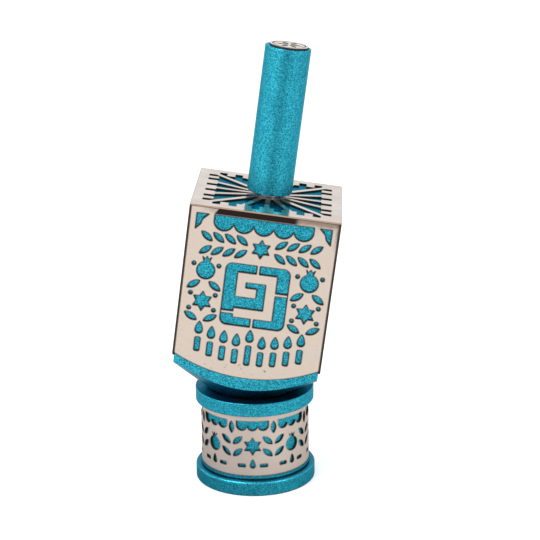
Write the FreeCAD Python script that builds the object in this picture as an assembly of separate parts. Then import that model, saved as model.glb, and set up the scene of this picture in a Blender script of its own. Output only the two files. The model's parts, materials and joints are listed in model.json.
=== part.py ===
import FreeCAD, Part
import math
import os
from FreeCAD import Vector

# A four-sided metal dreidel leaning in the seat of its turned stand. Millimetres, +Z up.
# The origin is the middle of the stand's foot, on the surface that it stands on.

# Stand
foot_radius = 17.1
foot_height = 4.4
foot_rounding = 0.45
foot_top_rounding = 0.8
groove_radius = 15.2
groove_width = 0.3
shoulder_radius = 15.6
shoulder_height = 0.8
waist_radius = 14.85
band_height = 18.2
band_thickness = 0.5
band_clearance = 0.05
band_end_clearance = 0.03
band_seam = 0.4
collar_radius = 16.85
collar_height = 3.9
collar_rounding = 0.2
seat_radius = 13.2
seat_depth = 6.6
well_radius = 6.8
well_depth = 7.0
seat_clearance = 0.12
seat_shift = 0.31

# Dreidel
lean = 7.86
cube_side = 40.8
plate_thickness = 0.5
top_plate_thickness = 0.4
top_plate_corner = 0.8
block_corner = 0.8
point_depth = 64.3
underside_slope = 34.4
bare_margin = 3.5
plate_arc_drop = 5.1
nose_radius = 2.0
side_plate_hang = 0.5

# Handle, its stud and its cap
handle_radius = 6.28
handle_height = 41.6
handle_foot_rounding = 0.3
handle_top_rounding = 0.25
handle_gap = 1.1
stud_radius = 3.0
stud_length = 20.0
stud_clearance = 0.05
hub_clearance = 0.35
hub_width = 2.1
ray_bar_width = 1.5
ray_tip_width = 0.3
cap_radius = 5.3
cap_thickness = 0.5
cap_offset = 0.2
cap_cut_depth = 0.18

# Spin point
tip_radius = 1.2
tip_reach = 2.6
tip_seated = 8.0
tip_clearance = 0.03

# How far every cut runs past the face it leaves
overrun = 5.0

# Derived heights of the stand
band_bottom = foot_height + groove_width + shoulder_height
collar_bottom = band_bottom + band_height
collar_top = collar_bottom + collar_height
seat_floor = collar_top - seat_depth
well_floor = seat_floor - well_depth

# Derived sizes of the dreidel, with depths measured down its axis from the top plate's upper face
half_side = cube_side / 2
block_half = half_side - plate_thickness
slope_rise = math.tan(math.radians(underside_slope))
plate_middle_depth = point_depth - block_half * slope_rise - bare_margin
plate_arc_radius = (half_side ** 2 + plate_arc_drop ** 2) / (2 * plate_arc_drop)
nose_depth = point_depth - nose_radius * slope_rise

# The cone under the block rests on the seat's left rim, a little off where it would touch both rims
right_rise = math.tan(math.radians(underside_slope - lean))
left_rise = math.tan(math.radians(underside_slope + lean))
balanced_x = seat_radius * (right_rise - left_rise) / (right_rise + left_rise)
point_x = balanced_x - seat_shift
point_z = collar_top - (seat_radius + point_x) * left_rise

ORIGIN = Vector(0, 0, 0)
X_AXIS = Vector(1, 0, 0)
Y_AXIS = Vector(0, 1, 0)
Z_AXIS = Vector(0, 0, 1)


# Flat outlines, drawn across (x) and up (y)

def outline(points):
    """Closed outline through (x, y) or (x, y, radius) corners, each rounded to its radius."""
    corners = [Vector(point[0], point[1], 0) for point in points]
    arcs = []
    for index, point in enumerate(points):
        here = corners[index]
        radius = point[2] if len(point) > 2 else 0
        if radius == 0:
            arcs.append((here, None, here))
            continue
        back = (corners[index - 1] - here).normalize()
        ahead = (corners[(index + 1) % len(corners)] - here).normalize()
        half_angle = back.getAngle(ahead) / 2
        reach = radius / math.tan(half_angle)
        inward = (back + ahead).normalize() * (radius / math.sin(half_angle) - radius)
        arcs.append((here + back * reach, here + inward, here + ahead * reach))
    edges = []
    for index, (start, middle, end) in enumerate(arcs):
        if middle is not None:
            edges.append(Part.Arc(start, middle, end).toShape())
        edges.append(Part.LineSegment(end, arcs[(index + 1) % len(arcs)][0]).toShape())
    return Part.Face(Part.Wire(edges))


def rectangle(width, height, corner=0):
    """A rectangle round the origin, with round corners where corner isn't zero."""
    half = width / 2
    rise = height / 2
    return outline([(-half, -rise, corner), (half, -rise, corner),
                    (half, rise, corner), (-half, rise, corner)])


def placed(shape, across, up, turn=0):
    """A copy of a flat shape, turned about its own middle and moved to its place."""
    copy = shape.copy()
    copy.rotate(ORIGIN, Z_AXIS, turn)
    copy.translate(Vector(across, up, 0))
    return copy


def turned(points):
    """A solid turned about the Z axis from a half outline of (radius, height) corners."""
    profile = outline(points)
    profile.rotate(ORIGIN, X_AXIS, 90)
    return profile.revolve(ORIGIN, Z_AXIS, 360)


# Motifs of the pierced metal

slot_corner_share = 0.3
flame_side_shares = (0.36, 0.5)
crown_shares = [(-0.26, 0.8), (0.26, 0.8), (0.5, 1.55), (0.2, 1.25), (0, 1.6), (-0.2, 1.25), (-0.5, 1.55)]
star_points = 6
star_inner_share = 0.577
leaf_root_share = 0.5
leaf_gap_share = 0.42


def disc(radius):
    return Part.Face(Part.Wire(Part.makeCircle(radius)))


def slot(width, height):
    """An upright slot with round corners."""
    return rectangle(width, height, min(width, height) * slot_corner_share)


def leaf(length, width):
    """A pointed leaf along the x axis, from two arcs."""
    left = Vector(-length / 2, 0, 0)
    right = Vector(length / 2, 0, 0)
    upper = Part.Arc(left, Vector(0, width / 2, 0), right).toShape()
    lower = Part.Arc(right, Vector(0, -width / 2, 0), left).toShape()
    return Part.Face(Part.Wire([upper, lower]))


def star(radius):
    """A six-pointed star with one point up."""
    inner = radius * star_inner_share
    points = []
    for step in range(2 * star_points):
        reach = radius if step % 2 == 0 else inner
        angle = math.pi / 2 + step * math.pi / star_points
        points.append((reach * math.cos(angle), reach * math.sin(angle)))
    return outline(points)


def flame(width, height):
    """A candle flame: a round foot and two arcs that meet in a point."""
    foot = width / 2
    right = Vector(foot, 0, 0)
    left = Vector(-foot, 0, 0)
    point = Vector(0, height - foot, 0)
    side = Vector(width * flame_side_shares[0], point.y * flame_side_shares[1], 0)
    bottom = Part.Arc(left, Vector(0, -foot, 0), right).toShape()
    rising = Part.Arc(right, side, point).toShape()
    falling = Part.Arc(point, Vector(-side.x, side.y, 0), left).toShape()
    return Part.Face(Part.Wire([bottom, rising, falling]))


def pomegranate(radius):
    """A round fruit with a three-pointed crown."""
    crown = outline([(x * radius, y * radius) for x, y in crown_shares])
    return disc(radius).fuse(crown).removeSplitter()


def garland(width, rim, sag, swags):
    """A hanging opening: a straight upper edge and a row of sagging arcs below it."""
    half = width / 2
    pitch = width / swags
    edges = [Part.LineSegment(Vector(half, 0, 0), Vector(-half, 0, 0)).toShape()]
    edges.append(Part.LineSegment(Vector(-half, 0, 0), Vector(-half, -rim, 0)).toShape())
    for index in range(swags):
        start = Vector(-half + index * pitch, -rim, 0)
        middle = start + Vector(pitch / 2, -sag, 0)
        edges.append(Part.Arc(start, middle, start + Vector(pitch, 0, 0)).toShape())
    edges.append(Part.LineSegment(Vector(half, -rim, 0), Vector(half, 0, 0)).toShape())
    return Part.Face(Part.Wire(edges))


def sprig(leaves, length, width, pitch, splay):
    """Pairs of leaves that splay from a line along the x axis, from near the middle outwards."""
    faces = []
    for index in range(leaves):
        along = index * pitch
        for side in (1, -1):
            root = length * leaf_root_share * math.sin(math.radians(splay))
            rise = side * (root + width * leaf_gap_share)
            faces.append(placed(leaf(length, width), along, rise, side * splay))
    return faces


def mirrored(faces):
    """The faces and their mirror images across the upright middle line."""
    return faces + [face.mirror(ORIGIN, X_AXIS) for face in faces]


# The four letters, as shares of the letter's size, with the bridges that hold each in its panel

letter_outline_shares = {
    "pe": [[(-0.42, 0.5), (0.42, 0.5), (0.42, -0.5), (-0.42, -0.5), (-0.42, -0.29), (0.2, -0.29),
            (0.2, 0.29), (-0.22, 0.29), (-0.22, 0.17), (0.02, 0.17), (0.02, -0.04), (-0.42, -0.04)]],
    "he": [[(-0.42, 0.5), (0.42, 0.5), (0.42, -0.5), (0.2, -0.5), (0.2, 0.29), (-0.42, 0.29)],
           [(-0.4, 0.13), (-0.18, 0.13), (-0.18, -0.5), (-0.4, -0.5)]],
    "gimel": [[(-0.16, 0.5), (0.2, 0.5), (0.2, 0.02), (0.36, -0.5), (0.12, -0.5), (0.03, -0.2),
               (-0.14, -0.2), (-0.14, -0.5), (-0.36, -0.5), (-0.36, 0.0), (-0.02, 0.0), (-0.02, 0.3),
               (-0.16, 0.3)]],
    "nun": [[(-0.14, 0.5), (0.3, 0.5), (0.3, -0.5), (-0.36, -0.5), (-0.36, -0.29), (0.08, -0.29),
             (0.08, 0.3), (-0.14, 0.3)]],
}
bridge_shares = {
    "pe": [(0, 0.6, 0), (0, -0.6, 0), (0.52, 0.1, 90), (-0.52, -0.4, 90)],
    "he": [(0, 0.6, 0), (0.31, -0.6, 0), (-0.29, -0.6, 0), (0.52, 0.1, 90), (-0.52, -0.2, 90)],
    "gimel": [(0.02, 0.6, 0), (-0.25, -0.6, 0), (0.24, -0.6, 0), (-0.5, -0.14, 90), (0.42, 0.2, 90)],
    "nun": [(0.08, 0.6, 0), (-0.24, -0.6, 0), (0.2, -0.6, 0), (0.5, 0.1, 90), (-0.5, -0.4, 90)],
}

# Sizes and places of the plates' openings, as shares of the pattern's size, with heights down from the top.
# The pattern is as wide as the cube, or less where the plates are too short for it.
pattern_height_share = 1.16
pattern = min(cube_side, plate_middle_depth / pattern_height_share)
letter_share = 0.315
panel_share = 0.43
panel_corner_share = 0.045
panel_place_share = 0.58
bridge_width_share = 0.019
bridge_length_share = 0.1
garland_width_share = 0.66
garland_place_share = 0.054
garland_rim_share = 0.05
garland_sag_share = 0.054
garland_swags = 5
corner_piece_shares = [(0.365, 0.055), (0.448, 0.055), (0.448, 0.165), (0.415, 0.13), (0.405, 0.095)]
crest_star_radius_share = 0.066
crest_star_place_share = 0.25
sprig_start_share = 0.13
sprig_place_share = 0.252
sprig_leaf_share = 0.098
sprig_width_share = 0.039
sprig_pitch_share = 0.078
sprig_leaves = 4
sprig_splay = 38
fruit_place_shares = (0.345, 0.44)
fruit_radius_share = 0.061
side_star_place_shares = (0.345, 0.655)
side_star_radius_share = 0.07
side_leaf_length_share = 0.1
side_leaf_width_share = 0.042
side_leaf_place_shares = [(0.275, 0.543, 35), (0.415, 0.543, -35), (0.28, 0.766, 150), (0.41, 0.766, 30)]
dot_radius_share = 0.014
dot_place_shares = [(0.262, 0.605), (0.428, 0.605), (0.262, 0.71), (0.428, 0.71),
                    (0.262, 0.40), (0.428, 0.40)]
candle_count = 9
candle_pitch_share = 0.086
candle_width_share = 0.038
candle_height_share = 0.1
middle_candle_share = 0.14
candle_foot_share = 0.095
flame_width_share = 0.052
flame_height_share = 0.088
flame_gap_share = 0.024


def letter_panel(name):
    """The opening round a letter: a rounded panel less the letter and its bridges."""
    size = letter_share * pattern
    panel = rectangle(panel_share * pattern, panel_share * pattern, panel_corner_share * pattern)
    solids = []
    for shares in letter_outline_shares[name]:
        solids.append(outline([(x * size, y * size) for x, y in shares]))
    bar = rectangle(bridge_width_share * pattern, bridge_length_share * pattern)
    for across, up, turn in bridge_shares[name]:
        solids.append(placed(bar, across * size, up * size, turn))
    opening = panel.cut(solids)
    return [placed(face, 0, -panel_place_share * pattern) for face in opening.Faces]


def lower_edge(across):
    """Depth of a plate's lower arc at a distance from its middle line."""
    return plate_middle_depth - plate_arc_radius + math.sqrt(plate_arc_radius ** 2 - across ** 2)


def candles():
    """A row of candles that follows the plate's lower arc, the middle one tallest."""
    width = candle_width_share * pattern
    flame_width = flame_width_share * pattern
    flame_height = flame_height_share * pattern
    faces = []
    middle = (candle_count - 1) // 2
    for index in range(candle_count):
        across = (index - middle) * candle_pitch_share * pattern
        share = middle_candle_share if index == middle else candle_height_share
        height = share * pattern
        foot = candle_foot_share * pattern - lower_edge(across)
        faces.append(placed(slot(width, height), across, foot + height / 2))
        wick = foot + height + flame_gap_share * pattern + flame_width / 2
        faces.append(placed(flame(flame_width, flame_height), across, wick))
    return faces


def at_share(face, across, down, turn=0):
    """A motif moved to its place in the pattern, given as shares of the pattern's size."""
    return placed(face, across * pattern, -down * pattern, turn)


def plate_openings(name):
    faces = letter_panel(name) + candles()
    swags = garland(garland_width_share * pattern, garland_rim_share * pattern,
                    garland_sag_share * pattern, garland_swags)
    faces.append(at_share(swags, 0, garland_place_share))
    faces.append(at_share(star(crest_star_radius_share * pattern), 0, crest_star_place_share))
    right_half = [outline([(x * pattern, -y * pattern) for x, y in corner_piece_shares])]
    for face in sprig(sprig_leaves, sprig_leaf_share * pattern, sprig_width_share * pattern,
                      sprig_pitch_share * pattern, sprig_splay):
        right_half.append(at_share(face, sprig_start_share, sprig_place_share))
    right_half.append(at_share(pomegranate(fruit_radius_share * pattern), *fruit_place_shares))
    right_half.append(at_share(star(side_star_radius_share * pattern), *side_star_place_shares))
    blade = leaf(side_leaf_length_share * pattern, side_leaf_width_share * pattern)
    for across, down, turn in side_leaf_place_shares:
        right_half.append(at_share(blade, across, down, turn))
    for across, down in dot_place_shares:
        right_half.append(at_share(disc(dot_radius_share * pattern), across, down))
    return faces + mirrored(right_half)


def side_plate(name, width, hang):
    """A pierced side plate as it stands on the front face."""
    half = width / 2
    corner = Vector(half, -lower_edge(half) - hang, 0)
    lowest = Vector(0, -plate_middle_depth - hang, 0)
    top = -top_plate_thickness
    edges = [
        Part.Arc(Vector(-corner.x, corner.y, 0), lowest, corner).toShape(),
        Part.LineSegment(corner, Vector(half, top, 0)).toShape(),
        Part.LineSegment(Vector(half, top, 0), Vector(-half, top, 0)).toShape(),
        Part.LineSegment(Vector(-half, top, 0), Vector(-corner.x, corner.y, 0)).toShape(),
    ]
    sheet = Part.Face(Part.Wire(edges)).cut(plate_openings(name))
    plate = sheet.Faces[0].extrude(Vector(0, 0, plate_thickness))
    plate.translate(Vector(0, 0, block_half))
    plate.rotate(ORIGIN, X_AXIS, 90)
    return plate


# Sunburst of the top plate: rays in a square field whose edge is notched like a wall's battlements,
# as shares of the cube's side
ray_count = 16
ray_pitch = 360 / ray_count
field_share = 0.716
notch_reach_share = 0.429
notch_width_share = 0.051
notch_place_shares = (0.074, 0.225, 0.333)


def ray():
    """A flat ray along the x axis that fills its pitch up to the straight bars beside it."""
    slope = math.tan(math.radians(ray_pitch / 2))
    meeting = ray_bar_width / 2 / math.sin(math.radians(ray_pitch / 2))
    start = max(stud_radius + hub_clearance + hub_width, meeting + ray_tip_width / 2 / slope)
    inner_half = (start - meeting) * slope
    outer_half = (cube_side - meeting) * slope
    return outline([(start, -inner_half), (cube_side, -outer_half),
                    (cube_side, outer_half), (start, inner_half)])


def ray_field():
    """The square field that ends the rays, with notches along its four sides."""
    square = rectangle(field_share * cube_side, field_share * cube_side)
    reach = notch_reach_share * cube_side
    half_width = notch_width_share * cube_side / 2
    notch = outline([(-half_width, 0), (half_width, 0), (half_width, reach), (-half_width, reach)])
    notches = []
    for share in notch_place_shares:
        for place in (share * cube_side, -share * cube_side):
            along = placed(notch, place, 0)
            notches += [placed(along, 0, 0, turn) for turn in (0, 90, 180, 270)]
    return square.fuse(notches).removeSplitter()


def top_plate():
    """A square sheet with a hub round the stud, pierced by rays."""
    sheet = rectangle(cube_side, cube_side, top_plate_corner)
    field = ray_field()
    blade = ray()
    openings = [disc(stud_radius + hub_clearance)]
    for index in range(ray_count):
        openings += placed(blade, 0, 0, (index + 0.5) * ray_pitch).common(field).Faces
    plate = sheet.cut(openings).Faces[0].extrude(Vector(0, 0, top_plate_thickness))
    plate.translate(Vector(0, 0, -top_plate_thickness))
    return plate


def block():
    """The cube with its turned conical underside, bored for the stud and the spin point."""
    column = rectangle(2 * block_half, 2 * block_half, block_corner).extrude(Vector(0, 0, point_depth))
    column.translate(Vector(0, 0, -point_depth - top_plate_thickness))
    reach = block_half * math.sqrt(2) + overrun
    cone = turned([(0, -nose_depth), (nose_radius, -nose_depth), (reach, -point_depth + reach * slope_rise),
                   (reach, overrun), (0, overrun)])
    stud_hole = Part.makeCylinder(stud_radius + stud_clearance, stud_length / 2 + stud_clearance + overrun,
                                  Vector(0, 0, -top_plate_thickness - stud_length / 2 - stud_clearance))
    tip_hole = Part.makeCylinder(tip_radius + tip_clearance, tip_seated + tip_clearance + overrun,
                                 Vector(0, 0, -nose_depth - overrun))
    return column.common(cone).cut(stud_hole).cut(tip_hole)


def handle():
    """The rod, standing clear of the top plate on its stud and bored for it."""
    rod = turned([(0, handle_gap), (handle_radius, handle_gap, handle_foot_rounding),
                  (handle_radius, handle_height, handle_top_rounding), (0, handle_height)])
    stud_top = stud_length / 2 - top_plate_thickness
    hole = Part.makeCylinder(stud_radius + stud_clearance, stud_top + stud_clearance + overrun,
                             Vector(0, 0, -overrun))
    return rod.cut(hole)


def handle_stud():
    """The stud that joins block and handle, seen only in the narrow gap under the handle."""
    return Part.makeCylinder(stud_radius, stud_length, Vector(0, 0, -top_plate_thickness - stud_length / 2))


# Rosette of the cap, as shares of the cap's radius
petal_count = 6
petal_length_share = 0.62
petal_width_share = 0.22
petal_reach_share = 0.41
rosette_ring_shares = (0.8, 0.88)


def cap_disc():
    """The disc on the handle's end, engraved with a six-petalled rosette in a ring."""
    plate = Part.makeCylinder(cap_radius, cap_thickness)
    petal = leaf(petal_length_share * cap_radius, petal_width_share * cap_radius)
    marks = []
    for index in range(petal_count):
        turn = 360 / petal_count * index
        reach = petal_reach_share * cap_radius
        across = reach * math.cos(math.radians(turn))
        up = reach * math.sin(math.radians(turn))
        marks.append(placed(petal, across, up, turn))
    inner, outer = [share * cap_radius for share in rosette_ring_shares]
    marks.append(disc(outer).cut(disc(inner)))
    for mark in marks:
        mark.translate(Vector(0, 0, cap_thickness - cap_cut_depth))
        plate = plate.cut(mark.extrude(Vector(0, 0, cap_cut_depth + overrun)))
    plate.translate(Vector(cap_offset, 0, handle_height))
    return plate


def tip():
    """The steel spin point, a pin with a round end, running in the block's lower hole."""
    top = -nose_depth + tip_seated
    bottom = -nose_depth - tip_reach
    pin = Part.makeCylinder(tip_radius, top - bottom - tip_radius, Vector(0, 0, bottom + tip_radius))
    ball = Part.makeSphere(tip_radius, Vector(0, 0, bottom + tip_radius))
    return pin.fuse(ball).removeSplitter()


def stand_body():
    """The turned stand: foot, groove, shoulder, waist and collar, with the seat bored in from above."""
    return turned([
        (0, 0),
        (foot_radius, 0, foot_rounding),
        (foot_radius, foot_height, foot_top_rounding),
        (groove_radius, foot_height),
        (groove_radius, foot_height + groove_width),
        (shoulder_radius, foot_height + groove_width),
        (shoulder_radius, band_bottom),
        (waist_radius, band_bottom),
        (waist_radius, collar_bottom),
        (collar_radius, collar_bottom, collar_rounding),
        (collar_radius, collar_top, collar_rounding),
        (seat_radius, collar_top),
        (seat_radius, seat_floor),
        (well_radius, seat_floor),
        (well_radius, well_floor),
        (0, well_floor),
    ])


# Openings of the band, as shares of its height, repeated round the waist
band_cells = 8
band_garland_width_share = 0.5
band_garland_place_share = 0.4
band_garland_rim_share = 0.085
band_garland_sag_share = 0.07
band_garland_swags = 3
band_star_radius_share = 0.148
band_star_place_share = -0.01
band_fruit_radius_share = 0.115
band_fruit_place_share = -0.05
band_leaf_length_share = 0.2
band_leaf_width_share = 0.085
band_leaf_side_share = 0.095
band_leaf_pitch_share = 0.2
band_leaf_foot_share = -0.12
band_bud_share = 0.29
band_leaf_pairs = 2
band_leaf_turn = 42
band_flame_width_share = 0.085
band_flame_height_share = 0.15
band_flame_place_share = -0.33
band_slot_width_share = 0.12
band_slot_height_share = 0.055
band_slot_side_share = 0.17
band_slot_place_share = -0.33


def band_cell(with_star):
    """Openings of one cell of the band, drawn flat round its middle height."""
    size = band_height
    swags = garland(band_garland_width_share * size, band_garland_rim_share * size,
                    band_garland_sag_share * size, band_garland_swags)
    faces = [placed(swags, 0, band_garland_place_share * size)]
    if with_star:
        faces.append(placed(star(band_star_radius_share * size), 0, band_star_place_share * size))
    else:
        fruit = pomegranate(band_fruit_radius_share * size)
        faces.append(placed(fruit, 0, band_fruit_place_share * size))
    light = flame(band_flame_width_share * size, band_flame_height_share * size)
    faces.append(placed(light, 0, band_flame_place_share * size))
    mark = slot(band_slot_width_share * size, band_slot_height_share * size)
    for side in (1, -1):
        faces.append(placed(mark, side * band_slot_side_share * size, band_slot_place_share * size))
    return faces


def band_stem():
    """Openings of the upright sprig between two cells: pairs of leaves under a bud."""
    size = band_height
    blade = leaf(band_leaf_length_share * size, band_leaf_width_share * size)
    faces = [placed(blade, 0, band_bud_share * size, 90)]
    for index in range(band_leaf_pairs):
        up = (band_leaf_foot_share + index * band_leaf_pitch_share) * size
        for side in (1, -1):
            faces.append(placed(blade, side * band_leaf_side_share * size, up, side * band_leaf_turn))
    return faces


def radial_cut(faces, turn):
    """Flat openings made into prisms that pass through the band on the side that turn gives."""
    prisms = []
    for face in faces:
        prism = face.extrude(Vector(0, 0, 2 * overrun))
        prism.translate(Vector(0, 0, waist_radius - overrun))
        prism.rotate(ORIGIN, X_AXIS, 90)
        prism.translate(Vector(0, 0, band_bottom + band_height / 2))
        prism.rotate(ORIGIN, Z_AXIS, turn)
        prisms.append(prism)
    return prisms


def stand_band():
    """The pierced sheet wrapped round the waist, with its seam at the back."""
    inner = waist_radius + band_clearance
    outer = inner + band_thickness
    height = band_height - 2 * band_end_clearance
    base = Vector(0, 0, band_bottom + band_end_clearance)
    band = Part.makeCylinder(outer, height, base).cut(Part.makeCylinder(inner, height, base))
    cuts = []
    for index in range(band_cells):
        turn = 360 / band_cells * index
        cuts += radial_cut(band_cell(index % 2 == 0), turn)
        cuts += radial_cut(band_stem(), turn + 180 / band_cells)
    seam = Part.makeBox(band_seam, outer + overrun, band_height + overrun,
                        Vector(-band_seam / 2, 0, band_bottom - overrun / 2))
    cuts.append(seam)
    return band.cut(cuts)


def seated(shape):
    """A piece of the dreidel, moved from its own axis to where it leans in the seat."""
    copy = shape.copy()
    copy.translate(Vector(0, 0, point_depth + seat_clearance))
    copy.rotate(ORIGIN, Y_AXIS, lean)
    copy.translate(Vector(point_x, 0, point_z))
    return copy


def faced(plate, turn):
    """A side plate carried round the block to its own face."""
    copy = plate.copy()
    copy.rotate(ORIGIN, Z_AXIS, turn)
    return copy


pieces = {
    "stand_body": stand_body(),
    "stand_band": stand_band(),
    "block": seated(block()),
    "pe_plate": seated(faced(side_plate("pe", 2 * block_half, 0), 0)),
    "he_plate": seated(faced(side_plate("he", cube_side, side_plate_hang), 90)),
    "gimel_plate": seated(faced(side_plate("gimel", 2 * block_half, 0), 180)),
    "nun_plate": seated(faced(side_plate("nun", cube_side, side_plate_hang), 270)),
    "top_plate": seated(top_plate()),
    "handle": seated(handle()),
    "handle_stud": seated(handle_stud()),
    "cap_disc": seated(cap_disc()),
    "tip": seated(tip()),
}

os.makedirs("parts", exist_ok=True)
for name, shape in pieces.items():
    shape.exportStep("parts/" + name + ".step")
    print(name, shape.ShapeType, "solids", len(shape.Solids), "valid", shape.isValid(),
          "volume", round(shape.Volume, 1))
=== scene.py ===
import bpy
import json
import math
from mathutils import Matrix, Vector


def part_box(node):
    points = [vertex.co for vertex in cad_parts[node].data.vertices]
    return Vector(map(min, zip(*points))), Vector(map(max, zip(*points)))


# A metal dreidel on its turned stand. Every piece is a node of the frame and gets its finish here.
# Lengths are in metres, and those of the finishes in millimetres.

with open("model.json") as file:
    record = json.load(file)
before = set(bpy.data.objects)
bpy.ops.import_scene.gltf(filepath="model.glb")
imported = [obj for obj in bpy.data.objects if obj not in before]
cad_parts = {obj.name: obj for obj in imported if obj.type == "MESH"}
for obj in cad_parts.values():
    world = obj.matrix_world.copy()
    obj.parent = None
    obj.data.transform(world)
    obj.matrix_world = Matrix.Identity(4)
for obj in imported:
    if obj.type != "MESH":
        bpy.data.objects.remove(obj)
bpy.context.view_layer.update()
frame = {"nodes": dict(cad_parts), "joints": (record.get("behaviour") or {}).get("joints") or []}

MM = 0.001

# The dreidel's own axis, read from the frame: its rest lean and the point of its cone
lift = next(joint for joint in frame["joints"] if joint["name"] == "lift")
spin = next(joint for joint in frame["joints"] if joint["name"] == "spin")
axis = Vector(lift["axis"])
lean = math.atan2(axis.x, axis.z)
cone_point = Vector(spin["pos_m"])

# In millimetres, half the cube's side, and how high the top plate's upper face is over the cone's point
# along that axis
half_side = -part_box("pe_plate")[0].y / MM
top_edge_rise = (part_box("top_plate")[1].z - cone_point.z) / MM
top_face_height = (top_edge_rise - half_side * math.sin(lean)) / math.cos(lean)


class Value:
    """A socket of a node graph, with the usual arithmetic."""

    def __init__(self, graph, socket):
        self.graph = graph
        self.socket = socket

    def maths(self, operation, *others):
        """A Math node, with this value first."""
        inputs = dict(enumerate((self, *others)))
        return self.graph.node("ShaderNodeMath", {"operation": operation}, inputs)

    def __add__(self, other):
        return self.maths("ADD", other)

    def __radd__(self, other):
        return self.maths("ADD", other)

    def __sub__(self, other):
        return self.maths("SUBTRACT", other)

    def __rsub__(self, other):
        return (self * -1.0) + other

    def __mul__(self, other):
        return self.maths("MULTIPLY", other)

    def __rmul__(self, other):
        return self.maths("MULTIPLY", other)

    def __truediv__(self, other):
        return self.maths("DIVIDE", other)

    def __pow__(self, other):
        return self.maths("POWER", other)

    def __abs__(self):
        return self.maths("ABSOLUTE")


# Places of the Mix node's two colours among its inputs, and of their mixture among its outputs
first_colour = 6
second_colour = 7
mixed_colour = 2

# Rays that the Ambient Occlusion node casts from each point
edge_rays = 8


class Graph:
    """The node graph of one material, or of the world."""

    def __init__(self, owner):
        owner.use_nodes = True
        self.owner = owner
        self.nodes = owner.node_tree.nodes
        self.links = owner.node_tree.links
        self.nodes.clear()

    def node(self, kind, settings=None, inputs=None, output=0):
        """One node: its settings first, then the values or links of its sockets."""
        made = self.nodes.new(kind)
        for key, value in (settings or {}).items():
            setattr(made, key, value)
        for key, value in (inputs or {}).items():
            if isinstance(value, Value):
                self.links.new(value.socket, made.inputs[key])
            elif isinstance(value, tuple) and made.inputs[key].type == "RGBA":
                made.inputs[key].default_value = (*value, 1.0)
            else:
                made.inputs[key].default_value = value
        return Value(self, made.outputs[output]) if len(made.outputs) else None

    def mix(self, factor, first, second):
        """Two colours mixed."""
        inputs = {0: factor, first_colour: first, second_colour: second}
        return self.node("ShaderNodeMix", {"data_type": "RGBA"}, inputs, mixed_colour)

    def step(self, value, low, high, start=0.0, end=1.0):
        """A smooth rise from start to end while value goes from low to high."""
        inputs = {"Value": value, "From Min": low, "From Max": high, "To Min": start, "To Max": end}
        return self.node("ShaderNodeMapRange", {"interpolation_type": "SMOOTHSTEP"}, inputs)

    def split(self, vector):
        """The three parts of a vector, or of a colour."""
        parts = self.node("ShaderNodeSeparateXYZ", None, {0: vector}).socket.node.outputs
        return [Value(self, part) for part in parts]

    def noise(self, vector, scale, detail=2.0, rough=0.5):
        """A soft random pattern, from zero to one."""
        inputs = {"Vector": vector, "Scale": scale, "Detail": detail, "Roughness": rough}
        return self.node("ShaderNodeTexNoise", None, inputs)

    def cells(self, vector, scale):
        """A random value for each grain."""
        colour = self.node("ShaderNodeTexVoronoi", None, {"Vector": vector, "Scale": scale}, "Color")
        return self.split(colour)[0]

    def place(self, leaning):
        """Object coordinates in millimetres, along the dreidel's own axis for its pieces."""
        inputs = {
            "Vector": self.node("ShaderNodeTexCoord", None, None, "Object"),
            "Location": cone_point if leaning else Vector((0, 0, 0)),
            "Rotation": (0, lean if leaning else 0, 0),
            "Scale": (MM, MM, MM),
        }
        return self.node("ShaderNodeMapping", {"vector_type": "TEXTURE"}, inputs)

    def facing(self, leaning):
        """The surface's own direction, in the same axes as place."""
        direction = self.node("ShaderNodeTexCoord", None, None, "Normal")
        inputs = {"Vector": direction, "Rotation": (0, lean if leaning else 0, 0)}
        return self.node("ShaderNodeMapping", {"vector_type": "TEXTURE"}, inputs)

    def stretched(self, vector, scales):
        """A place with its own scale along each axis."""
        return self.node("ShaderNodeMapping", None, {"Vector": vector, "Scale": scales})

    def bump(self, height, depth, strength):
        """A relief that is depth millimetres deep where height goes from zero to one."""
        inputs = {"Height": height, "Distance": depth * MM, "Strength": strength}
        return self.node("ShaderNodeBump", None, inputs)

    def openness(self, reach, **settings):
        """How free the space is within reach of a point, one where nothing is near."""
        settings["samples"] = edge_rays
        return self.node("ShaderNodeAmbientOcclusion", settings, {"Distance": reach * MM}, "AO")

    def near_edge(self, reach, low, high):
        """One beside an outer edge, falling to zero about reach millimetres inside it."""
        return self.step(self.openness(reach, inside=True, only_local=True), low, high)

    def near_wall(self, reach, low, high):
        """One on a surface close beside the wall of an opening above it."""
        return self.step(self.openness(reach), low, high)

    def finish(self, inputs):
        """The material itself, with the values and links of its Principled shader."""
        surface = self.node("ShaderNodeBsdfPrincipled", None, inputs)
        self.node("ShaderNodeOutputMaterial", None, {"Surface": surface})
        return self.owner


def axis_distance(x, y):
    """Distance from the upright axis."""
    return (x * x + y * y) ** 0.5


# Colours of the finishes, linear

TURQUOISE = (0.012, 0.36, 0.50)
TURQUOISE_BRIGHT = (0.065, 0.66, 0.80)
TURQUOISE_DEEP = (0.006, 0.15, 0.24)
# Painted shade for upward faces: the block's top lies in the plates' shadow, and the stand's ledges mirror
# dim surroundings
TURQUOISE_TOP_SHADE = (0.010, 0.044, 0.092)
TURQUOISE_LEDGE_SHADE = (0.012, 0.118, 0.182)
TURQUOISE_SHADE = (0.004, 0.022, 0.045)
TURQUOISE_GLANCE = (0.35, 0.75, 0.88)
SILVER = (0.87, 0.765, 0.665)
SILVER_COOL = (0.84, 0.79, 0.74)
SILVER_WORN = (0.66, 0.55, 0.46)
BAND_SILVER = (0.755, 0.645, 0.575)
CAP_SILVER = (0.96, 0.87, 0.78)
TOP_SILVER = (0.465, 0.415, 0.37)
STEEL = (0.5, 0.5, 0.51)
STEEL_LIGHT = (0.62, 0.61, 0.6)
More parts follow.
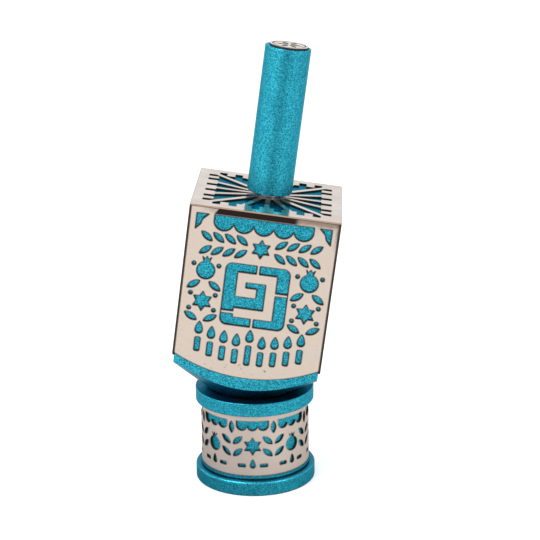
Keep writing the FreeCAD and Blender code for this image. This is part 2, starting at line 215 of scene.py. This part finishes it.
# The first brown below is that of burnt cut walls, and also the painted shade on the top plate's hub under
# the handle
CUT_AND_SHADE_BROWN = (0.035, 0.020, 0.014)
CUT_BLACK = (0.008, 0.007, 0.007)
TOP_STRIP_BROWN = (0.024, 0.014, 0.012)
HEAT_BROWN = (0.07, 0.034, 0.022)
HEAT_STRAW = (0.42, 0.28, 0.19)
RUST_BROWN = (0.28, 0.10, 0.055)

# Below, scales are per millimetre, and reaches and depths are in millimetres. A pair gives the values at
# which a mask starts to rise and is full.

# Anodised metal
blast_scale = 5.0
blast_fine_scale = 6.5
blast_depth = 0.025
blast_relief = 0.7
glint_range = (0.5, 0.85)
pit_range = (0.46, 0.12)
dye_drift_scale = 0.12
dye_drift_range = (0.35, 0.7)
dye_drift_strength = 0.12
facing_up = (0.45, 0.95)
facing_down = (-0.5, -0.75)
top_painted_shade_strength = 0.9
opening_shade_reach = 0.5
opening_shade_range = (0.95, 0.6)
blast_roughness = 0.30
seal_weight = 0.2
seal_polish_change = 0.25
seal_roughness = 0.25


def anodised(name, leaning, top_painted_shade=None, polish=0.0, depth=0.0, shade=0.85, grit=1.0):
    """Bead-blasted, dyed aluminium with a fine sparkling grain.

    Its flat upper side can take a painted shade, and polish makes its turned flats smoother than the rest.
    Depth deepens the dye, shade darkens it close to the walls of the openings over it, and a low grit
    makes its grain quieter.
    """
    graph = Graph(bpy.data.materials.new(name))
    place = graph.place(leaning)
    grain = graph.cells(place, blast_scale)
    fine = graph.noise(place, blast_fine_scale, detail=1.0)
    drift = graph.step(graph.noise(place, dye_drift_scale), *dye_drift_range)
    sparkle = grain * 0.8 + fine * 0.2
    glint = graph.step(sparkle, *glint_range) * grit
    pit = graph.step(sparkle, *pit_range) * grit
    colour = graph.mix(glint, TURQUOISE, TURQUOISE_BRIGHT)
    colour = graph.mix(pit, colour, TURQUOISE_DEEP)
    colour = graph.mix(depth + drift * dye_drift_strength, colour, TURQUOISE_DEEP)
    rise = graph.split(graph.facing(leaning))[2]
    upper = graph.step(rise, *facing_up)
    under = graph.step(rise, *facing_down)
    # Painted shade on upward faces, standing in for the shadow and dim reflections that fall on them
    if top_painted_shade:
        colour = graph.mix(upper * top_painted_shade_strength, colour, top_painted_shade)
    shadow = graph.near_wall(opening_shade_reach, *opening_shade_range)
    colour = graph.mix(shadow * shade, colour, TURQUOISE_SHADE)
    smooth = (upper + under) * polish
    relief = (grain * 0.7 + fine * 0.5) * (1 - smooth * 0.8)
    return graph.finish({
        "Base Color": colour,
        "Metallic": 1.0,
        "Roughness": blast_roughness + fine * 0.14 - smooth * 0.2,
        "Specular Tint": TURQUOISE_GLANCE,
        "Coat Weight": seal_weight + (under - upper) * (polish * seal_polish_change),
        "Coat Roughness": seal_roughness,
        "Normal": graph.bump(relief, blast_depth, blast_relief * grit),
    })


# Sheet metal
cut_range = (0.9, 0.55)
cloud_scale = 0.16
cloud_range = (0.3, 0.75)
cloud_strength = 0.35
brush_scales = (0.35, 0.35, 5.0)
brush_range = (0.4, 0.75)
brush_strength = 0.25
wear_scale = 3.0
wear_range = (0.45, 0.75)
wear_strength = 0.22
straw_line_reach = 0.9
straw_line_range = (0.99, 0.7)
straw_line_strength = 0.25
brown_line_reach = 0.3
brown_line_range = (0.94, 0.8)
brown_line_strength = 0.85
char_range = (0.35, 0.65)
rim_range = (half_side - 0.9, half_side - 0.6)
dull_core_share = 0.7
dull_roughness = 0.16
satin_roughness = 0.42
cut_roughness = 0.3
cut_metal_loss = 0.7
brush_depth = 0.015
brush_relief = 0.5


def sheet(name, across, leaning=True, marks_and_shade=None, rim_straw=False, tone=SILVER, polish=0.0, metal=0.85,
          heat=1.0, dull_reach=0.0):
    """Satin silver sheet whose cut walls are burnt dark, with a thin heat line beside every edge.

    Its faces look along the axis that across names, or away from the upright axis where it says round.
    Its given marks add stains and painted shade, rim_straw lightens its outer rim, and heat is the
    strength of its heat lines. A polished sheet is duller within dull_reach of its middle, where it was
    handled while hot.
    """
    graph = Graph(bpy.data.materials.new(name))
    place = graph.place(leaning)
    x, y, _ = graph.split(place)
    facing_x, facing_y, facing_z = graph.split(graph.facing(leaning))
    if across == "round":
        flatness = abs((facing_x * x + facing_y * y) / axis_distance(x, y))
    else:
        flatness = abs({"x": facing_x, "y": facing_y, "z": facing_z}[across])
    cut = graph.step(flatness, *cut_range)
    flat = 1 - cut
    cloud = graph.noise(place, cloud_scale, detail=3.0)
    grain = graph.noise(place, wear_scale, detail=3.0, rough=0.6)
    brushed = graph.noise(graph.stretched(place, brush_scales), 1.0, detail=3.0)
    colour = graph.mix(graph.step(cloud, *cloud_range) * cloud_strength, tone, SILVER_COOL)
    colour = graph.mix(graph.step(brushed, *brush_range) * brush_strength, colour, SILVER_WORN)
    colour = graph.mix(graph.step(grain, *wear_range) * wear_strength, colour, SILVER_WORN)
    straw_line = graph.near_edge(straw_line_reach, *straw_line_range) * flat
    colour = graph.mix(straw_line * (straw_line_strength * heat), colour, HEAT_STRAW)
    brown_line = graph.near_edge(brown_line_reach, *brown_line_range) * flat
    colour = graph.mix(brown_line * (brown_line_strength * heat), colour, HEAT_BROWN)
    # Stains, and painted shade where a sheet is given any
    if marks_and_shade:
        for mask, mark_colour in marks_and_shade(graph, place):
            colour = graph.mix(mask * flat, colour, mark_colour)
    wall = graph.mix(graph.step(grain, *char_range), CUT_BLACK, CUT_AND_SHADE_BROWN)
    if rim_straw:
        rim = graph.step(abs(x).maths("MAXIMUM", abs(y)), *rim_range)
        wall = graph.mix(rim, wall, HEAT_STRAW)
    roughness = (satin_roughness - polish) + brushed * 0.1 + cut * cut_roughness
    if dull_reach:
        dull = graph.step(axis_distance(x, y), dull_reach, dull_reach * dull_core_share)
        roughness = roughness + dull * dull_roughness
    return graph.finish({
        "Base Color": graph.mix(cut, colour, wall),
        "Metallic": metal - cut * cut_metal_loss,
        "Roughness": roughness,
        "Normal": graph.bump(brushed * 0.5 + grain * 0.5, brush_depth, brush_relief),
    })


# Heat marks and a nearly black top strip of the front plate, across from its middle line and up from its
# top edge
ragged_scale = 0.9
strip_up = (-2.15, -1.85)
strip_left = (-12.6, -12.0)
strip_right = (9.8, 7.8)
strip_slant = 0.6
fade_across = (6.5, 10.5)
fade_up = (-4.6, -1.0)
fade_core_up = (-2.4, -0.9)
side_across = (18.8, 20.0)
side_up = (-9.0, -4.0)
corner_across = (-17.5, -14.0)
corner_up = (-2.2, -1.0)
rust_foot_up = (-46.0, -45.0)
rust_top_up = (-42.5, -44.0)
rust_range = (0.62, 0.72)


def front_stain(graph, place):
    """The front plate's marks: its narrow top strip nearly black, fading to heat marks on the right.

    Each ragged border wanders by as many millimetres as ragged is multiplied by.
    """
    x, _, z = graph.split(place)
    up = z - top_face_height
    ragged = graph.noise(place, ragged_scale, detail=3.0) - 0.5
    left = graph.step(x - up * strip_slant + ragged * 1.2, *strip_left)
    right = graph.step(x + ragged * 1.5, *strip_right)
    # A nearly black strip just under the top edge
    dark_strip = graph.step(up, *strip_up) * left * right
    fade = graph.step(x + ragged * 4.0, *fade_across) * graph.step(up + ragged * 2.0, *fade_up)
    fade_core = fade * graph.step(up + ragged, *fade_core_up)
    side = graph.step(x + ragged * 0.8, *side_across) * graph.step(up + ragged * 3.0, *side_up)
    corner = graph.step(x + ragged * 3.0, *corner_across) * graph.step(up + ragged, *corner_up)
    low = graph.step(up + ragged * 1.5, *rust_foot_up) * graph.step(up, *rust_top_up)
    specks = graph.step(graph.noise(place, ragged_scale, rough=0.6), *rust_range) * low
    return [
        (fade * 0.3, HEAT_STRAW),
        (fade_core * 0.35, HEAT_BROWN),
        (side * 0.6, HEAT_BROWN),
        (corner * 0.3, HEAT_BROWN),
        (dark_strip, TOP_STRIP_BROWN),
        (specks * 0.7, RUST_BROWN),
    ]


# Painted shade on the top plate's hub, under the handle
hub_shade_range = (4.4, 4.1)
hub_shade_strength = 0.55


def hub_painted_shade(graph, place):
    """Painted shade on the top plate's hub, dark under the handle but for its rim."""
    x, y, _ = graph.split(place)
    return [(graph.step(axis_distance(x, y), *hub_shade_range) * hub_shade_strength, CUT_AND_SHADE_BROWN)]


# Turned steel
turning_scales = (0.4, 0.4, 9.0)
turning_depth = 0.01
turning_relief = 0.4
steel_roughness = 0.22


def plain_steel(name):
    """Bright steel with fine rings from the lathe."""
    graph = Graph(bpy.data.materials.new(name))
    rings = graph.noise(graph.stretched(graph.place(True), turning_scales), 1.0)
    return graph.finish({
        "Base Color": graph.mix(rings, STEEL, STEEL_LIGHT),
        "Metallic": 1.0,
        "Roughness": steel_roughness + rings * 0.15,
        "Normal": graph.bump(rings, turning_depth, turning_relief),
    })


def dress(node, material):
    """A CAD node gets one finish on all of its faces."""
    mesh = frame["nodes"][node].data
    mesh.materials.clear()
    mesh.materials.append(material)
    for polygon in mesh.polygons:
        polygon.material_index = 0


steel = plain_steel("plain_steel")
finishes = {
    "stand_body": anodised("stand_anodised", leaning=False, top_painted_shade=TURQUOISE_LEDGE_SHADE,
                           shade=0.5, grit=0.82),
    "block": anodised("block_anodised", leaning=True, top_painted_shade=TURQUOISE_TOP_SHADE, polish=0.7),
    "handle": anodised("handle_anodised", leaning=True, depth=0.17),
    "stand_band": sheet("band_sheet", "round", leaning=False, tone=BAND_SILVER, heat=0.6),
    "pe_plate": sheet("pe_sheet", "y", marks_and_shade=front_stain),
    "gimel_plate": sheet("gimel_sheet", "y"),
    "he_plate": sheet("he_sheet", "x"),
    "nun_plate": sheet("nun_sheet", "x"),
    "top_plate": sheet("top_sheet", "z", marks_and_shade=hub_painted_shade, rim_straw=True, tone=TOP_SILVER,
                       polish=0.37, metal=0.97, heat=0.5, dull_reach=11.0),
    "cap_disc": sheet("cap_sheet", "z", tone=CAP_SILVER, polish=0.3, metal=0.95, heat=0.3),
    "tip": steel,
    "handle_stud": steel,
}
for node, material in finishes.items():
    dress(node, material)


# Floor, with reaches in metres from the object's middle
WHITE = (1.0, 1.0, 1.0)
FLOOR_LEFT = (0.30, 0.30, 0.32)
FLOOR_RIGHT = (0.53, 0.53, 0.53)
FLOOR_FAR = (0.72, 0.72, 0.72)
FLOOR_AHEAD = (0.30, 0.30, 0.31)
floor_size = 8.0
floor_left_to_right = (-0.03, 0.03)
floor_far_reach = (0.03, 0.12)
floor_ahead_reach = (0.22, 0.3)
floor_ahead_direction = (-0.93, -0.985)
floor_lift = 0.4


def pale_floor():
    """A pale floor, a little dimmer round the object.

    For the camera it is lifted to white, so that only the shadow shows.
    """
    graph = Graph(bpy.data.materials.new("pale_floor"))
    x, y, _ = graph.split(graph.node("ShaderNodeTexCoord", None, None, "Object"))
    reach = axis_distance(x, y)
    tone = graph.mix(graph.step(x, *floor_left_to_right), FLOOR_LEFT, FLOOR_RIGHT)
    tone = graph.mix(graph.step(reach, *floor_far_reach), tone, FLOOR_FAR)
    ahead = graph.step(y / reach, *floor_ahead_direction) * graph.step(reach, *floor_ahead_reach)
    tone = graph.mix(ahead, tone, FLOOR_AHEAD)
    bounce = graph.node("ShaderNodeBsdfDiffuse", None, {"Color": tone})
    shade = graph.node("ShaderNodeBsdfDiffuse", None, {"Color": FLOOR_FAR})
    glow = graph.node("ShaderNodeEmission", None, {"Color": WHITE, "Strength": floor_lift})
    lifted = graph.node("ShaderNodeAddShader", None, {0: shade, 1: glow})
    seen = graph.node("ShaderNodeLightPath", None, None, "Is Camera Ray")
    shown = graph.node("ShaderNodeMixShader", None, {0: seen, 1: bounce, 2: lifted})
    graph.node("ShaderNodeOutputMaterial", None, {"Surface": shown})
    return graph.owner


def lay_floor():
    """The floor under the object, of which it is no part."""
    bpy.ops.object.select_all(action="DESELECT")
    bpy.ops.mesh.primitive_plane_add(size=floor_size, location=(0, 0, 0))
    floor = bpy.context.object
    floor.name = "floor"
    floor.data.materials.append(pale_floor())


# Light, by direction in the room, with x to the right, y away from the camera and z up
room_light = 1.3
room_evenness = 0.85
window_x = (-0.45, -0.9)
window_light = 0.35
wall_x = (0.35, 0.75)
wall_light = 0.25
far_right_x = (0.75, 1.0)
far_right_shade = 0.3
high_behind_y = (0.3, 0.8)
high_behind_z = (0.05, 0.3)
high_behind_light = 0.3
low_behind_y = (0.1, 0.8)
low_behind_z = (0.25, 0.05)
low_behind_shade = 0.45
in_front_y = (-0.72, -0.92)
in_front_shade = 0.12
below_z = (-0.3, 0.05)
below_share = 0.6

# Where the lamps look, in metres
middle = (0, 0, 0.06)


def soft_world():
    """A pale room, white to the camera.

    It is brightest on the left, less so on the right, and brighter high behind the object. It is dimmer
    low behind the object, at the far right, straight in front of the object, and below.
    """
    world = bpy.data.worlds.new("pale_room")
    bpy.context.scene.world = world
    graph = Graph(world)
    x, y, z = graph.split(graph.node("ShaderNodeTexCoord", None, None, "Generated"))
    window = graph.step(x, *window_x) * window_light
    wall = graph.step(x, *wall_x) * wall_light
    far_right = graph.step(x, *far_right_x) * far_right_shade
    high_behind = graph.step(y, *high_behind_y) * graph.step(z, *high_behind_z) * high_behind_light
    low_behind = graph.step(y, *low_behind_y) * graph.step(z, *low_behind_z) * low_behind_shade
    in_front = graph.step(y, *in_front_y) * in_front_shade
    below = graph.step(z, *below_z, start=below_share)
    light = room_evenness + window + wall + high_behind - far_right - low_behind - in_front
    room = graph.node("ShaderNodeBackground", None, {"Strength": light * below * room_light})
    white = graph.node("ShaderNodeBackground", None, {"Color": WHITE, "Strength": 1.0})
    seen = graph.node("ShaderNodeLightPath", None, None, "Is Camera Ray")
    shown = graph.node("ShaderNodeMixShader", None, {0: seen, 1: room, 2: white})
    graph.node("ShaderNodeOutputWorld", None, {"Surface": shown})


def soft_lamp(name, place, size, power):
    """A round lamp that looks at the object's middle."""
    data = bpy.data.lights.new(name, "AREA")
    data.shape = "DISK"
    data.size = size
    data.energy = power
    lamp = bpy.data.objects.new(name, data)
    lamp.location = place
    lamp.rotation_euler = (Vector(middle) - Vector(place)).to_track_quat("-Z", "Y").to_euler()
    bpy.context.scene.collection.objects.link(lamp)


# The photograph's view, with lengths in metres. The focal length is in the photograph's own pixels, and
# the sensor's width in Blender's millimetres.
camera_azimuth = math.radians(2.37)
camera_elevation = math.radians(16.67)
camera_roll = math.radians(-0.59)
camera_distance = 0.5
aim_height = 0.0613
aim_across = 0.00475
picture_pixels = 540
focal_pixels = 1783.6
sensor_width = 36.0


def photo_camera():
    """A camera that looks as the photograph's did, rolled a little about its own line of sight."""
    data = bpy.data.cameras.new("camera")
    data.sensor_width = sensor_width
    data.lens = focal_pixels / picture_pixels * sensor_width
    data.clip_start = 0.01
    data.clip_end = 20.0
    camera = bpy.data.objects.new("camera", data)
    level = math.cos(camera_elevation)
    back = Vector((math.sin(camera_azimuth) * level, -math.cos(camera_azimuth) * level,
                   math.sin(camera_elevation)))
    right = Vector((math.cos(camera_azimuth), math.sin(camera_azimuth), 0))
    up = back.cross(right)
    rolled_right = right * math.cos(camera_roll) + up * math.sin(camera_roll)
    rolled_up = up * math.cos(camera_roll) - right * math.sin(camera_roll)
    turn = Matrix((rolled_right, rolled_up, back)).transposed().to_4x4()
    aim = Vector((0, 0, aim_height)) + right * aim_across
    camera.matrix_world = Matrix.Translation(aim + back * camera_distance) @ turn
    bpy.context.scene.collection.objects.link(camera)
    bpy.context.scene.camera = camera


lay_floor()
soft_world()
soft_lamp("key", place=(-0.45, -0.55, 0.60), size=0.40, power=4.0)
soft_lamp("fill", place=(0.70, -0.50, 0.35), size=0.50, power=1.5)
photo_camera()
bpy.context.scene.view_settings.view_transform = "Standard"
